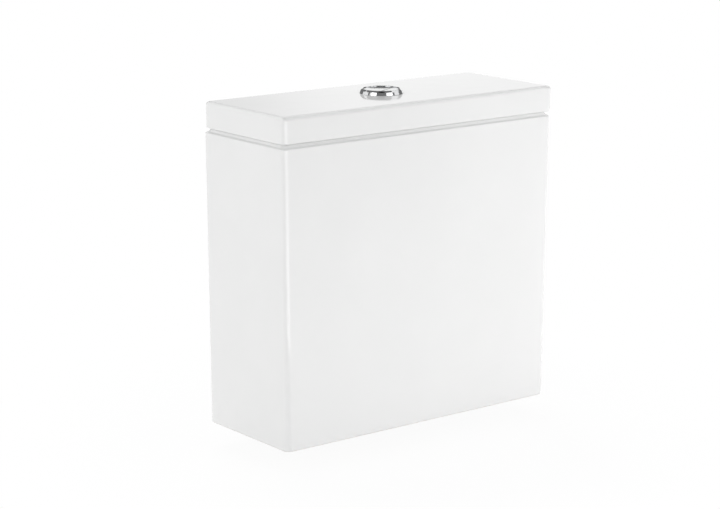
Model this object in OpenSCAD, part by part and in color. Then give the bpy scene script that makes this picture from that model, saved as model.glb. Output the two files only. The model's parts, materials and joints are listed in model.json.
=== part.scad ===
// Close-coupled toilet cistern with a dual-flush push button, a lift-tube flush valve
// and a bottom-entry fill valve.
// X runs to the right as seen from the front, Y towards the wall and Z up.
// The origin is on the outlet axis, in the plane of the rim that stands on the pan.

/* [Tank] */
// Width of the tank across its shoulders
tank_w = 389; // [370:1:430]
// Depth of the tank from its front to the wall
tank_d = 154; // [148:1:180]
// Height of the tank from the pan rim to its top edge
tank_h = 345; // [335:1:380]
// Thickness of the side walls
wall_t = 10; // [9:0.5:11]
// Radius of the upright outer corners
corner_r = 7; // [6.5:0.5:10]
// Radius of the upright inner corners
inner_r = 14; // [12:0.5:18]
// How far each end leans in between the shoulder and the pan rim
end_draft = 3.3; // [0:0.1:5]
// How far the front leans in between the shoulder and the pan rim
front_draft = 1.3; // [0:0.1:3]
// Width of the sloping shoulder below the lid
shoulder_w = 5; // [4:0.5:6]
// Height of the sloping shoulder below the lid
shoulder_h = 6; // [4:0.5:8]
// Rounding of the bottom outer edge
foot_r = 3; // [1.5:0.5:5]
// Thickness of the floor
floor_t = 11; // [9:0.5:14]
// Rounding between the floor and the walls inside
floor_fillet = 12; // [6:1:18]
// Height of the hollow under the floor
skirt_h = 20; // [18:1:26]
// Thickness of the rim round that hollow
skirt_t = 13; // [10:0.5:15]
// Rounding between the rim and the underside of the floor
skirt_fillet = 4; // [2:1:6]

/* [Lid] */
// Height of the lid
lid_h = 30; // [28:1:40]
// Thickness of the lid's top
lid_t = 10; // [8:0.5:12]
// How far the lid stands past the tank at the front and ends
lid_over = 0.7; // [0:0.1:3]
// How far the lid stays back from the wall
lid_back = 3; // [1:0.5:4]
// Rounding of the lid's top edge
lid_edge_r = 4.5; // [3:0.5:6]
// Rounding of the lid's bottom edge
lid_foot_r = 3.5; // [1.5:0.5:4]
// Depth of the lip that drops inside the tank
lip_h = 8; // [5:1:12]
// Thickness of that lip
lip_t = 6; // [4:0.5:8]
// Play between the lip and the tank wall
lip_gap = 2.5; // [1.5:0.5:4]

/* [Push button] */
// Diameter of the chrome ring
bezel_d = 50; // [48:0.5:56]
// Height of the ring above the lid
bezel_h = 5.5; // [4:0.5:7]
// Width of the ring's top
bezel_w = 4; // [3.5:0.5:5]
// Travel of each button
press = 6; // [5:0.5:6.5]
// Turn of the button and the flush valve about the outlet axis
valve_turn = 25; // [0:1:40]
// Distance of the split between the buttons from the middle
split_y = 5; // [3:0.5:5.5]
// Gap between the two buttons
split_gap = 0.6; // [0.4:0.1:1]
// How far the buttons lie below the ring's top
cap_recess = 0.8; // [0.4:0.1:1.5]
// Thickness of a button's top and skirt
cap_t = 1.4; // [1.2:0.1:1.5]
// Height of a button's skirt
cap_skirt = 7.6; // [6:0.2:9]
// Wall of the housing's sleeve
sleeve_t = 1.5; // [1.2:0.1:2]
// Depth of the sleeve below the top of the lid
sleeve_depth = 24; // [22:1:28]
// Thickness of the shelf that guides the push rods
shelf_t = 3; // [2:0.5:4]
// Diameter of a push rod
rod_d = 6; // [5:0.5:6]
// Wire of the return springs
spring_wire = 0.7; // [0.5:0.1:0.8]
// Mean diameter of the return springs
spring_d = 10; // [9.6:0.1:10.2]
// Number of coils in a return spring
spring_turns = 5; // [4:1:6]

/* [Flush valve] */
// Bore of the outlet and its seat
outlet_d = 50; // [48:1:52]
// Diameter of the threaded spigot through the floor
spigot_d = 59.6; // [58:0.2:60]
// Diameter of the plain nozzle at the end of the spigot
nozzle_d = 56; // [55:0.5:57]
// Depth of the nozzle's end below the pan rim
nozzle_drop = 15; // [12:1:18]
// Diameter of the flange inside the tank
flange_d = 84; // [82:1:90]
// Outer diameter of the strainer basket
basket_d = 82; // [81:0.5:82]
// Height of the strainer basket above the flange
basket_h = 41; // [36:1:50]
// Diameter of the lift tube
tube_d = 38; // [37:0.5:38.5]
// Wall of the lift tube
tube_t = 2.5; // [2:0.1:3]
// Distance from a lever's pin to its push pad
pad_arm = 13.5; // [13:0.1:13.8]
// Distance from a lever's pin to its lifting toe
toe_arm = 18; // [17.6:0.1:18.2]
// Width of a lever
lever_w = 6; // [5.8:0.1:6.4]
// Diameter of the lever pin
lever_pin_d = 4; // [3:0.5:5]
// Depth of the lever pin below the tank's top edge
pin_drop = 33; // [31:0.5:36]
// Height of the partial-flush float
partial_h = 50; // [40:1:55]
// Travel of the partial-flush float
partial_travel = 50; // [30:1:55]

/* [Fill valve] */
// Distance of the inlet from the left end of the tank
inlet_end = 69.5; // [67:0.5:72]
// Diameter of the threaded inlet tail
tail_d = 20.96; // [20:0.02:21]
// Depth of the tail's end below the pan rim
tail_drop = 20; // [15:1:24]
// Bore of the inlet
inlet_bore = 12; // [10:0.5:13]
// Diameter of the shank through the floor
shank_d = 24; // [23:0.5:26]
// Diameter of the riser
riser_d = 22; // [20:0.5:23]
// Height of the riser's socket above the flange
socket_h = 70; // [50:1:80]
// Depth of the head's underside below the tank's top edge
head_drop = 77; // [75:1:82]
// Diameter of the head
head_d = 42; // [40:1:44]
// Height of the head
head_h = 30; // [28:1:32]
// Diameter of the float cup
float_d = 72; // [68:1:73]
// Height of the float cup
float_h = 75; // [60:1:80]
// Distance from the arm's pin to the float link
link_arm = 24; // [23:0.5:25]
// Distance from the arm's pin to the pilot seal
pilot_arm = 12; // [11:0.5:13]
// Swing of the float arm
arm_swing = 28; // [20:1:30]
// Outer diameter of the downpipe
pipe_d = 15; // [13:0.5:16]

/* [Coupling kit] */
// Distance between the two coupling bolts
bolt_pitch = 155; // [150:1:160]
// Diameter of the bolt thread
bolt_d = 8; // [7:0.5:8.5]
// Depth of the bolt ends below the pan rim
bolt_drop = 25; // [20:1:26]
// Thickness of the foam ring below its nut
foam_t = 10; // [8:1:14]

/* [Clearances] */
// Gap under a moving piece at rest
rest_gap = 0.3; // [0.2:0.05:0.5]
// Gap beside a sliding or turning piece
slide_gap = 0.4; // [0.3:0.05:0.5]
// Radial gap of a threaded or clipped joint
thread_gap = 0.1; // [0.05:0.01:0.15]
// Radial gap of a hinge pin
pin_gap = 0.08; // [0.04:0.01:0.1]

/* [Hidden] */
$fn = 64;

// Colours
glaze = [0.95, 0.95, 0.93];
chrome = [0.78, 0.79, 0.80];
white_plastic = [0.90, 0.91, 0.90];
grey_plastic = [0.62, 0.66, 0.68];
blue_plastic = [0.20, 0.42, 0.66];
red_plastic = [0.75, 0.16, 0.14];
black_plastic = [0.12, 0.12, 0.13];
rubber = [0.10, 0.10, 0.10];
steel = [0.66, 0.66, 0.64];

// Sides of the ceramic's corner arcs, and how far a cut runs past a face
corner_fn = 32;
through = 1;

// Share of a finger grip's radius that lies outside the rim it is cut into
grip_out = 0.6;

// Heads of the hinge pins
pin_head_t = 1.5;
pin_head_w = 1.2;

// Main heights
deck_z = skirt_h + floor_t;
shoulder_z = tank_h - shoulder_h;
lid_z = tank_h + rest_gap;
lid_top = lid_z + lid_h;
lid_under = lid_top - lid_t;

// Push button
bezel_r = bezel_d / 2;
bezel_edge = 3;
bezel_lip = 1;
housing_flange = 1.5;
well_r = bezel_r - bezel_w;
sleeve_r = well_r + sleeve_t;
cap_r = well_r - slide_gap;
cap_top = lid_top + bezel_h - cap_recess;
cap_under = cap_top - cap_t;
cap_foot = cap_under - cap_skirt;
shelf_top = cap_foot - press - slide_gap;
shelf_foot = shelf_top - shelf_t;
rod_r = rod_d / 2;
rod_boss_t = 1;
rod_boss_h = 4;
rod_stop_w = 1.8;
rod_stop_h = 3;
rod_chamfer = 1.5;
nut_wing = 7;
nut_h = 8;
nut_grips = 12;
nut_grip_r = 4;
spring_rise = cap_under - shelf_top - 2 * rest_gap - spring_wire;
coil_rings = 8;
coil_sides = 6;
coil_last = spring_turns * coil_rings;

// Flush valve, from the floor up
gasket_t = 4;
flange_t = 4;
flange_z = deck_z + gasket_t;
basket_z = flange_z + flange_t;
seat_w = 3;
seat_h = 4;
seat_z = basket_z + seat_h;
basket_t = 3;
basket_top = basket_z + basket_h;
basket_in = basket_d / 2 - basket_t;
outlet_r = outlet_d / 2;
outlet_play = 3;
outlet_hole_r = spigot_d / 2 + outlet_play;
backnut_h = 14;
backnut_w = 14;
backnut_r = spigot_d / 2 + backnut_w;
backnut_grips = 8;
backnut_grip_r = 8;
foam_top_w = 6;
foam_foot_w = 3;
foam_z = skirt_h - backnut_h - foam_t;
seal_t = 3;
seal_z = seat_z + rest_gap;
seal_over = 2;
seal_r = outlet_r + seat_w + seal_over;
tube_r = tube_d / 2;
carrier_t = 3;
carrier_z = seal_z + seal_t;
carrier_ribs = 6;
carrier_rib_h = 12;
carrier_rib_inset = 2;
retainer_t = 3;
retainer_w = 4;
tube_end = 2;

// Levers and their pin
lane_in = rest_gap;
lane_out = lane_in + lever_w;
lane_mid = (lane_in + lane_out) / 2;
hub_r = 5;
arm_t = 6;
pad_r = 2.5;
toe_r = 2;
pad_relief = 0.5;
toe_relief = 1.5;
lever_tilt = asin(press / 2 / pad_arm);
lift = press * toe_arm / pad_arm;
pin_r = lever_pin_d / 2;
pin_z = tank_h - pin_drop;
ear_t = 3;
ear_in = lane_out + slide_gap;
ear_out = ear_in + ear_t;
rod_y = pad_arm * (1 + cos(lever_tilt)) / 2;
rod_foot = pin_z + pad_arm * sin(lever_tilt) + pad_r + rest_gap;

// Cage round the lift tube
cage_t = 3.5;
cage_r = basket_in - slide_gap;
cage_in = cage_r - cage_t;
cage_sector = 48;
column_inset = 0.4;
cage_collar_h = 8;
cage_collar_skirt = 10;
beam_w = 10;
beam_t = 6;
hub_room = 4;
beam_top = pin_z - hub_r - hub_room;
beam_z = beam_top - beam_t;
guide_t = 5;
guide_w = 3.6;
guide_rise = 4;
guide_z = basket_top + cage_collar_h + guide_rise;
partial_z = guide_z + guide_t + rest_gap;
partial_room = 3;
guide_top_z = partial_z + partial_h + partial_travel + partial_room;
partial_play = 1;
partial_in = tube_r + partial_play;
partial_side = 2;
partial_r = cage_in - partial_side;
partial_t = 1.5;
tube_room = 4;
tube_top = beam_z - lift - tube_room;
hook_h = 6;
hook_w = 3.5;
hook_room = 0.3;
hook_leg = lane_out + slide_gap + hook_room;
full_hook_z = pin_z - toe_arm * sin(lever_tilt) + toe_r + rest_gap;
half_play = 0.2;
half_hook_z = pin_z + toe_arm * sin(lever_tilt) + toe_r + rest_gap + half_play;

// Fill valve
inlet_x = tank_w / 2 - inlet_end;
shank_r = shank_d / 2;
tail_r = tail_d / 2;
riser_r = riser_d / 2;
shank_flange_w = 7;
shank_flange_r = shank_r + shank_flange_w;
shank_play = 1;
shank_end = 1;
washer_over = 1;
shank_nut_h = 11;
shank_nut_w = 7;
shank_nut_flange_t = 3;
shank_nut_flange_w = 8;
shank_foot = skirt_h - shank_nut_h - shank_end;
socket_z = deck_z + gasket_t + flange_t;
socket_t = 3;
socket_seat = 20;
socket_top = socket_z + socket_h;
collar_w = 4;
collar_grip = 10;
collar_rise = 8;
collar_grips = 10;
collar_grip_r = 3;
riser_t = 3.5;
head_z = tank_h - head_drop;
head_r = head_d / 2;
head_seat = 10;
dish_w = 3;
dish_h = 3;
diaphragm_inset = 1;
diaphragm_t = 2.5;
cap_z = head_z + head_h + diaphragm_t;
head_cap_h = 10.5;
head_cap_over = 0.5;
head_cap_r = head_r + head_cap_over;
cap_grips = 20;
cap_grip_r = 2;
vent_r = 0.8;
head_cap_top = cap_z + head_cap_h;
nozzle_h = 1.5;
nozzle_r = 3;
half_swing = arm_swing / 2;
arm_thick = 6;
arm_half = 5.5;
arm_end_r = 3.8;
arm_hub_r = 4.4;
pilot_h = 3.5;
pilot_nose_h = 1.5;
pilot_nose_r = 2;
pilot_r = 3.4;
pilot_drop = arm_thick / 2 + pilot_h;
pivot_x = -7;
pilot_low = (pilot_arm + pilot_nose_r) * sin(half_swing) + pilot_drop * cos(half_swing);
pivot_z = head_cap_top + nozzle_h + rest_gap + pilot_low;
nozzle_x = pivot_x + pilot_arm * cos(half_swing) - pilot_drop * sin(half_swing);
arm_pin_r = 2;
arm_ear_in = arm_half + slide_gap;
arm_ear_t = 3;
arm_ear_r = 5;
link_x = pivot_x - link_arm * (1 + cos(half_swing)) / 2;
link_z = pivot_z - link_arm * sin(half_swing);
link_r = 2.4;
link_eye_r = 3.5;
link_eye_half = 2;
link_tail = 10;
link_pin_r = 1.5;
fork_half = link_r + slide_gap;
fork_depth = 9;
fork_room = 2;
slot_play = link_arm * (1 - cos(half_swing)) / 2 + rest_gap;
float_lift = 2 * link_arm * sin(half_swing);
float_r = float_d / 2;
float_t = 1.8;
float_guide = riser_r + slide_gap;
float_room = 20;
float_top = head_z - float_lift - float_room;
float_z = float_top - float_h;
float_boss_r = 5;
float_boss_h = 4;
adjuster_r = 6;
adjuster_h = 6;
adjuster_z = float_top + float_boss_h;
adjuster_grips = 8;
adjuster_grip_r = 1.5;
pipe_r = pipe_d / 2;
pipe_t = 1.5;
pipe_room = 1.5;
pipe_y = float_r + pipe_r + pipe_room;
pipe_z = head_z + head_h / 2;
pipe_crook = 1.5;
pipe_bend = pipe_r + pipe_crook;
pipe_rise = 30;
pipe_foot = socket_z + pipe_rise;
spout_seat = 5;
spout_room = 5;
spout_y = pipe_y - pipe_bend - spout_room;

// Coupling kit
stud_r = bolt_d / 2;
neck_cut = 0.4;
neck_r = stud_r - neck_cut;
bolt_play = 2;
bolt_hole_r = stud_r + bolt_play;
bolt_seal_t = 5;
bolt_seal_r = 12;
bolt_seal_nose = 6;
bolt_nose_w = 0.8;
bolt_seal_draft = 1;
bolt_washer_t = 1.5;
bolt_washer_r = 11;
bolt_washer_z = deck_z + bolt_seal_t;
bolt_head_h = 5.3;
hex_r = 7.5;
floor_washer_t = 2;
locknut_h = 6.5;
locknut_foot = skirt_h - floor_washer_t - locknut_h;

// Share of the way from the shoulder down to the pan rim
function lean(z) = max(0, (shoulder_z - z) / shoulder_z);

// Places a corner post on each upright corner of the tank's outline at height z
module tank_corners(z, inset) {
    x = tank_w / 2 - end_draft * lean(z) - inset;
    front = -tank_d / 2 + front_draft * lean(z) + inset;
    back = tank_d / 2 - inset;
    for (side = [-1, 1])
        for (y = [front, back])
            translate([side * x, y, z])
                children();
}

// Places a corner post on each upright corner of the lid's outline
module lid_corners() {
    x = tank_w / 2 + lid_over - corner_r;
    front = -tank_d / 2 - lid_over + corner_r;
    back = tank_d / 2 - lid_back - corner_r;
    for (side = [-1, 1])
        for (y = [front, back])
            translate([side * x, y, lid_z])
                children();
}

// Points of a quarter round of radius e, outside at r, rising from the level z
function foot_round(r, z, e) = [for (a = [90 : -15 : 0]) [r - e * (1 - cos(a)), z + e * (1 - sin(a))]];
function edge_round(r, z, e) = [for (a = [0 : 15 : 90]) [r - e * (1 - cos(a)), z - e * (1 - sin(a))]];

// Round post with a rounded bottom edge
module footed_post(r, h, e) {
    rotate_extrude($fn = corner_fn)
        polygon(concat([[0, h], [0, 0]], foot_round(r, 0, e), [[r, h]]));
}

// The flush valve and its button share one turn about the outlet axis
module at_valve() {
    rotate([0, 0, valve_turn])
        children();
}

module at_inlet() {
    translate([-inlet_x, 0, 0])
        children();
}

module at_bolts() {
    for (side = [-1, 1])
        translate([side * bolt_pitch / 2, 0, 0])
            children();
}

// Upright ring between two heights
module ring(r_in, r_out, z0, z1) {
    translate([0, 0, z0])
        difference() {
            cylinder(r = r_out, h = z1 - z0);
            translate([0, 0, -through])
                cylinder(r = r_in, h = z1 - z0 + 2 * through);
        }
}

// Upright ring with finger grips cut round its rim
module grip_ring(r_in, r_out, z0, z1, grips, grip_r) {
    difference() {
        ring(r_in, r_out, z0, z1);
        for (i = [0 : grips - 1])
            rotate([0, 0, (i + 0.5) * 360 / grips])
                translate([r_out + grip_r * grip_out, 0, z0 - through])
                    cylinder(r = grip_r, h = z1 - z0 + 2 * through);
    }
}

module tank() {
    color(glaze)
        difference() {
            hull() {
                tank_corners(0, corner_r)
                    footed_post(corner_r, 2 * foot_r, foot_r);
                tank_corners(shoulder_z, corner_r)
                    cylinder(r1 = corner_r, r2 = corner_r - shoulder_w, h = shoulder_h, $fn = corner_fn);
            }
            hull() {
                tank_corners(deck_z, wall_t + inner_r)
                    footed_post(inner_r, 2 * floor_fillet, floor_fillet);
                tank_corners(tank_h, wall_t + inner_r)
                    cylinder(r = inner_r, h = through, $fn = corner_fn);
            }
            hull()
                tank_corners(0, skirt_t + inner_r)
                    translate([0, 0, -through]) {
                        cylinder(r = inner_r, h = skirt_h - skirt_fillet + through, $fn = corner_fn);
                        cylinder(r = inner_r - skirt_fillet, h = skirt_h + through, $fn = corner_fn);
                    }
            translate([0, 0, skirt_h - through])
                cylinder(r = outlet_hole_r, h = floor_t + 2 * through);
            at_bolts()
                translate([0, 0, skirt_h - through])
                    cylinder(r = bolt_hole_r, h = floor_t + 2 * through);
            at_inlet()
                translate([0, 0, skirt_h - through])
                    cylinder(r = shank_r + shank_play, h = floor_t + 2 * through);
        }
}

module lid() {
    lip_inset = wall_t + lip_gap;
    lip_r = inner_r - lip_gap;
    color(glaze)
        difference() {
            union() {
                hull()
                    lid_corners()
                        rotate_extrude($fn = corner_fn)
                            polygon(concat(
                                [[0, 0]],
                                foot_round(corner_r, 0, lid_foot_r),
                                edge_round(corner_r, lid_h, lid_edge_r),
                                [[0, lid_h]]
                            ));
                hull()
                    tank_corners(lid_z - lip_h, lip_inset + lip_r)
                        cylinder(r = lip_r, h = lip_h + through, $fn = corner_fn);
            }
            hull()
                tank_corners(lid_z - lip_h - through, lip_inset + lip_r)
                    cylinder(r = lip_r - lip_t, h = lid_under - lid_z + lip_h + through, $fn = corner_fn);
            translate([0, 0, lid_under - through])
                cylinder(r = sleeve_r + slide_gap, h = lid_t + 2 * through);
        }
}

module button_bezel() {
    color(chrome)
        translate([0, 0, lid_top])
            rotate_extrude()
                polygon(concat(
                    [
                        [well_r, bezel_h],
                        [well_r, housing_flange],
                        [bezel_r - bezel_lip, housing_flange],
                        [bezel_r - bezel_lip, 0],
                        [bezel_r, 0]
                    ],
                    edge_round(bezel_r, bezel_h, bezel_edge)
                ));
}

module button_housing() {
    sleeve_foot = lid_top - sleeve_depth;
    color(white_plastic)
        at_valve()
            difference() {
                union() {
                    ring(well_r, bezel_r - bezel_lip - thread_gap, lid_top, lid_top + housing_flange);
                    ring(well_r, sleeve_r, sleeve_foot, lid_top + housing_flange);
                    translate([0, 0, shelf_foot])
                        cylinder(r = well_r + sleeve_t / 2, h = shelf_t);
                }
                for (side = [-1, 1])
                    translate([side * lane_mid, -side * rod_y, shelf_foot - through])
                        cylinder(r = rod_r + slide_gap, h = shelf_t + 2 * through);
            }
}

module housing_nut() {
    color(grey_plastic)
        grip_ring(sleeve_r + thread_gap, sleeve_r + nut_wing, lid_under - nut_h, lid_under,
                  nut_grips, nut_grip_r);
}

// Area of one button seen from above, drawn in by inset: side 1 is the full flush, -1 the half flush
module cap_area(side, inset) {
    edge = -split_y + side * (split_gap / 2 + inset);
    intersection() {
        circle(r = cap_r - inset);
        translate([-bezel_r, side > 0 ? edge : edge - bezel_d])
            square([bezel_d, bezel_d]);
    }
}

module flush_button(side) {
    color(chrome)
        at_valve()
            difference() {
                union() {
                    difference() {
                        translate([0, 0, cap_foot])
                            linear_extrude(cap_top - cap_foot)
                                cap_area(side, 0);
                        translate([0, 0, cap_foot - through])
                            linear_extrude(cap_skirt + through)
                                cap_area(side, cap_t);
                    }
                    translate([-side * lane_mid, side * rod_y, cap_under - rod_boss_h])
                        cylinder(r = rod_r + rod_boss_t, h = rod_boss_h + cap_t / 2);
                }
                translate([-side * lane_mid, side * rod_y, cap_under - rod_boss_h - through])
                    cylinder(r = rod_r + thread_gap, h = rod_boss_h + through);
            }
}

module full_flush_button() {
    flush_button(1);
}

module half_flush_button() {
    flush_button(-1);
}

module push_rod(side) {
    color(white_plastic)
        at_valve()
            translate([-side * lane_mid, side * rod_y, 0]) {
                translate([0, 0, rod_foot])
                    cylinder(r1 = rod_r - rod_chamfer, r2 = rod_r, h = rod_chamfer);
                translate([0, 0, rod_foot + rod_chamfer])
                    cylinder(r = rod_r, h = cap_under - rod_foot - rod_chamfer);
                translate([0, 0, shelf_foot - rest_gap - rod_stop_h])
                    cylinder(r = rod_r + rod_stop_w, h = rod_stop_h);
            }
}

module full_push_rod() {
    push_rod(1);
}

module half_push_rod() {
    push_rod(-1);
}

// Centre line of a return spring, as a rising circle
function coil_point(i) = [
    spring_d / 2 * cos(i * 360 / coil_rings),
    spring_d / 2 * sin(i * 360 / coil_rings),
    spring_rise * i / coil_last
];

// Least gap between points of the wire that are half a turn or more apart
spring_gap = min([
    for (i = [0 : coil_last - coil_rings / 2])
        for (j = [i + coil_rings / 2 : coil_last])
            norm(coil_point(j) - coil_point(i)) - spring_wire
]);
echo(spring_gap = spring_gap);

module coil_spring() {
    wire_r = spring_wire / 2;
    points = [
        for (i = [0 : coil_last])
            for (j = [0 : coil_sides - 1])
                let (a = i * 360 / coil_rings, b = j * 360 / coil_sides)
                    coil_point(i) + wire_r * [cos(b) * cos(a), cos(b) * sin(a), sin(b)]
    ];
    walls = [
        for (i = [0 : coil_last - 1])
            for (j = [0 : coil_sides - 1])
                let (p = i * coil_sides + j, q = i * coil_sides + (j + 1) % coil_sides)
                    each [[p, q, p + coil_sides], [q, q + coil_sides, p + coil_sides]]
    ];
    start = [for (j = [1 : coil_sides - 2]) [0, j + 1, j]];
    tip = coil_last * coil_sides;
    end = [for (j = [1 : coil_sides - 2]) [tip, tip + j, tip + j + 1]];
    polyhedron(points, concat(walls, start, end));
}

module return_spring(side) {
    color(steel)
        at_valve()
            translate([-side * lane_mid, side * rod_y, shelf_top + rest_gap + spring_wire / 2])
                coil_spring();
}

module full_return_spring() {
    return_spring(1);
}

module half_return_spring() {
    return_spring(-1);
}

module valve_base() {
    windows = 6;
    window_w = 28;
    color(white_plastic)
        at_valve()
            difference() {
                rotate_extrude()
                    polygon([
                        [outlet_r, -nozzle_drop],
                        [nozzle_d / 2, -nozzle_drop],
                        [nozzle_d / 2, foam_z],
                        [spigot_d / 2, foam_z],
                        [spigot_d / 2, flange_z],
                        [flange_d / 2, flange_z],
                        [flange_d / 2, basket_z],
                        [basket_d / 2, basket_z],
                        [basket_d / 2, basket_top],
                        [basket_in, basket_top],
                        [basket_in, basket_z],
                        [outlet_r + seat_w, basket_z],
                        [outlet_r + seat_w / 2, seat_z],
                        [outlet_r, seat_z]
                    ]);
                for (i = [0 : windows - 1])
                    rotate([0, 0, (i + 0.5) * 360 / windows])
                        translate([basket_in - through, -window_w / 2, seat_z])
                            cube([basket_t + 2 * through, window_w, basket_h - seat_h - cage_collar_skirt]);
            }
}

module base_gasket() {
    color(rubber)
        ring(spigot_d / 2 + thread_gap, flange_d / 2, deck_z, flange_z);
}

module valve_backnut() {
    color(black_plastic)
        grip_ring(spigot_d / 2 + thread_gap, backnut_r, skirt_h - backnut_h, skirt_h,
                  backnut_grips, backnut_grip_r);
}

module coupling_gasket() {
    color(rubber)
        rotate_extrude()
            polygon([
                [spigot_d / 2 + thread_gap, foam_z],
                [backnut_r + foam_foot_w, foam_z],
                [backnut_r + foam_top_w, skirt_h],
                [backnut_r + slide_gap, skirt_h],
                [backnut_r + slide_gap, foam_z + foam_t],
                [spigot_d / 2 + thread_gap, foam_z + foam_t]
            ]);
}

// Ring round the lift tube with two spokes to the cage's columns
module tube_guide(z) {
    guide_in = tube_r + slide_gap;
    ring(guide_in, guide_in + guide_w, z, z + guide_t);
    for (turn = [0, 180])
        rotate([0, 0, turn])
            translate([guide_in + guide_w / 2, -beam_w / 2, z])
                cube([cage_in + cage_t / 2 - guide_in - guide_w / 2, beam_w, guide_t]);
}

module valve_cage() {
    column_z = basket_top + cage_collar_h / 2;
    column_h = beam_z + beam_t / 2 - column_z;
    color(grey_plastic)
        at_valve()
            difference() {
                union() {
                    ring(cage_in, basket_d / 2, basket_top, basket_top + cage_collar_h);
                    ring(cage_in, cage_r, basket_top - cage_collar_skirt, basket_top + through);
                    for (turn = [0, 180])
                        rotate([0, 0, turn - cage_sector / 2])
                            translate([0, 0, column_z])
                                rotate_extrude(angle = cage_sector)
                                    translate([cage_in + column_inset, 0])
                                        square([cage_t - 2 * column_inset, column_h]);
                    ring(cage_in, cage_r, guide_top_z, guide_top_z + guide_t);
                    ring(cage_in, cage_r, beam_z, beam_top);
                    tube_guide(guide_z);
                    tube_guide(guide_top_z);
                    translate([-cage_in - cage_t / 2, -beam_w / 2, beam_z])
                        cube([2 * cage_in + cage_t, beam_w, beam_t]);
                    for (turn = [0, 180])
                        rotate([0, 0, turn]) {
                            translate([ear_in, -beam_w / 2, beam_z + beam_t / 2])
                                cube([ear_t, beam_w, pin_z - beam_z - beam_t / 2]);
                            translate([ear_in, 0, pin_z])
                                rotate([0, 90, 0])
                                    cylinder(r = beam_w / 2, h = ear_t);
                        }
                }
                translate([-ear_out - through, 0, pin_z])
                    rotate([0, 90, 0])
                        cylinder(r = pin_r + pin_gap, h = 2 * (ear_out + through));
            }
}

// Hook on the tube's rim that a lever's toe lifts, on the full-flush side
module tube_hook(hook_z) {
    hook_top = hook_z + hook_h;
    intersection() {
        ring(tube_r - tube_t, tube_r, tube_top - through, hook_top);
        union() {
            translate([-hook_leg - hook_w, -tube_d, tube_top - through])
                cube([hook_w, tube_d, hook_top - tube_top + through]);
            translate([-hook_leg - hook_w, -tube_d, hook_z])
                cube([hook_leg + hook_w - lane_in, tube_d, hook_h]);
        }
    }
}

module overflow_tube() {
    tube_foot = seal_z - retainer_t - tube_end;
    rib_r = seal_r - carrier_rib_inset;
    color(blue_plastic)
        at_valve() {
            ring(tube_r - tube_t, tube_r, tube_foot, tube_top);
            ring(tube_r - tube_t / 2, seal_r, carrier_z, carrier_z + carrier_t);
            for (i = [0 : carrier_ribs - 1])
                rotate([0, 0, i * 360 / carrier_ribs])
                    translate([0, carrier_t / 4, carrier_z + carrier_t])
                        rotate([90, 0, 0])
                            linear_extrude(carrier_t / 2)
                                polygon([
                                    [tube_r - tube_t / 2, -through],
                                    [rib_r, -through],
                                    [rib_r, 0],
                                    [tube_r, carrier_rib_h],
                                    [tube_r - tube_t / 2, carrier_rib_h]
                                ]);
            tube_hook(full_hook_z);
            rotate([0, 0, 180])
                tube_hook(half_hook_z);
        }
}

module flush_seal() {
    color(rubber)
        ring(tube_r + thread_gap, seal_r, seal_z, carrier_z);
}

module seal_retainer() {
    color(white_plastic)
        ring(tube_r + thread_gap, tube_r + retainer_w, seal_z - retainer_t, seal_z);
}

// Upturned ring-shaped cup that traps air
module partial_float() {
    color(red_plastic)
        rotate_extrude()
            difference() {
                translate([partial_in, partial_z])
                    square([partial_r - partial_in, partial_h]);
                translate([partial_in + partial_t, partial_z - through])
                    square([partial_r - partial_in - 2 * partial_t, partial_h - partial_t + through]);
            }
}

// Rocking lever of the full flush, at rest with its pad raised
module flush_lever() {
    translate([-lane_out, 0, pin_z])
        rotate([lever_tilt, 0, 0])
            rotate([90, 0, 90])
                linear_extrude(lever_w)
                    difference() {
                        union() {
                            circle(r = hub_r);
                            translate([pad_arm, 0])
                                circle(r = pad_r);
                            translate([-toe_arm, 0])
                                circle(r = toe_r);
                            polygon([
                                [-toe_arm, -toe_r],
                                [0, -arm_t / 2],
                                [pad_arm, -pad_r],
                                [pad_arm, pad_r - pad_relief],
                                [0, arm_t / 2],
                                [-toe_arm, toe_r - toe_relief]
                            ]);
                        }
                        circle(r = pin_r + pin_gap);
                    }
}

module full_lever() {
    color(blue_plastic)
        at_valve()
            flush_lever();
}

module half_lever() {
    color(red_plastic)
        at_valve()
            rotate([0, 0, 180])
                flush_lever();
}

module lever_pin() {
    color(steel)
        at_valve()
            translate([-ear_out - pin_head_t, 0, pin_z])
                rotate([0, 90, 0]) {
                    cylinder(r = pin_r, h = 2 * (ear_out + pin_head_t));
                    cylinder(r = pin_r + pin_head_w, h = pin_head_t);
                }
}

module inlet_shank() {
    bore_r = inlet_bore / 2;
    socket_in = riser_r + thread_gap;
    color(white_plastic)
        at_inlet()
            rotate_extrude()
                polygon([
                    [bore_r, -tail_drop],
                    [tail_r, -tail_drop],
                    [tail_r, shank_foot],
                    [shank_r, shank_foot],
                    [shank_r, socket_z - flange_t],
                    [shank_flange_r, socket_z - flange_t],
                    [shank_flange_r, socket_z],
                    [socket_in + socket_t, socket_z],
                    [socket_in + socket_t, socket_top],
                    [socket_in, socket_top],
                    [socket_in, socket_z + socket_seat],
                    [bore_r, socket_z + socket_seat]
                ]);
}

// Cup strainer pushed up into the inlet tail
module inlet_filter() {
    filter_r = inlet_bore / 2 - thread_gap;
    filter_t = 1;
    filter_h = 22;
    filter_rim = 4;
    slots = 8;
    slot_w = 1.2;
    color(blue_plastic)
        at_inlet()
            translate([0, 0, -tail_drop])
                difference() {
                    cylinder(r = filter_r, h = filter_h);
                    translate([0, 0, -through])
                        cylinder(r = filter_r - filter_t, h = filter_h - filter_t + through);
                    for (i = [0 : slots / 2 - 1])
                        rotate([0, 0, i * 360 / slots])
                            translate([-inlet_bore, -slot_w / 2, filter_rim])
                                cube([2 * inlet_bore, slot_w, filter_h - 2 * filter_rim]);
                }
}

module shank_washer() {
    color(rubber)
        at_inlet()
            ring(shank_r + thread_gap, shank_flange_r + washer_over, deck_z, deck_z + gasket_t);
}

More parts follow.
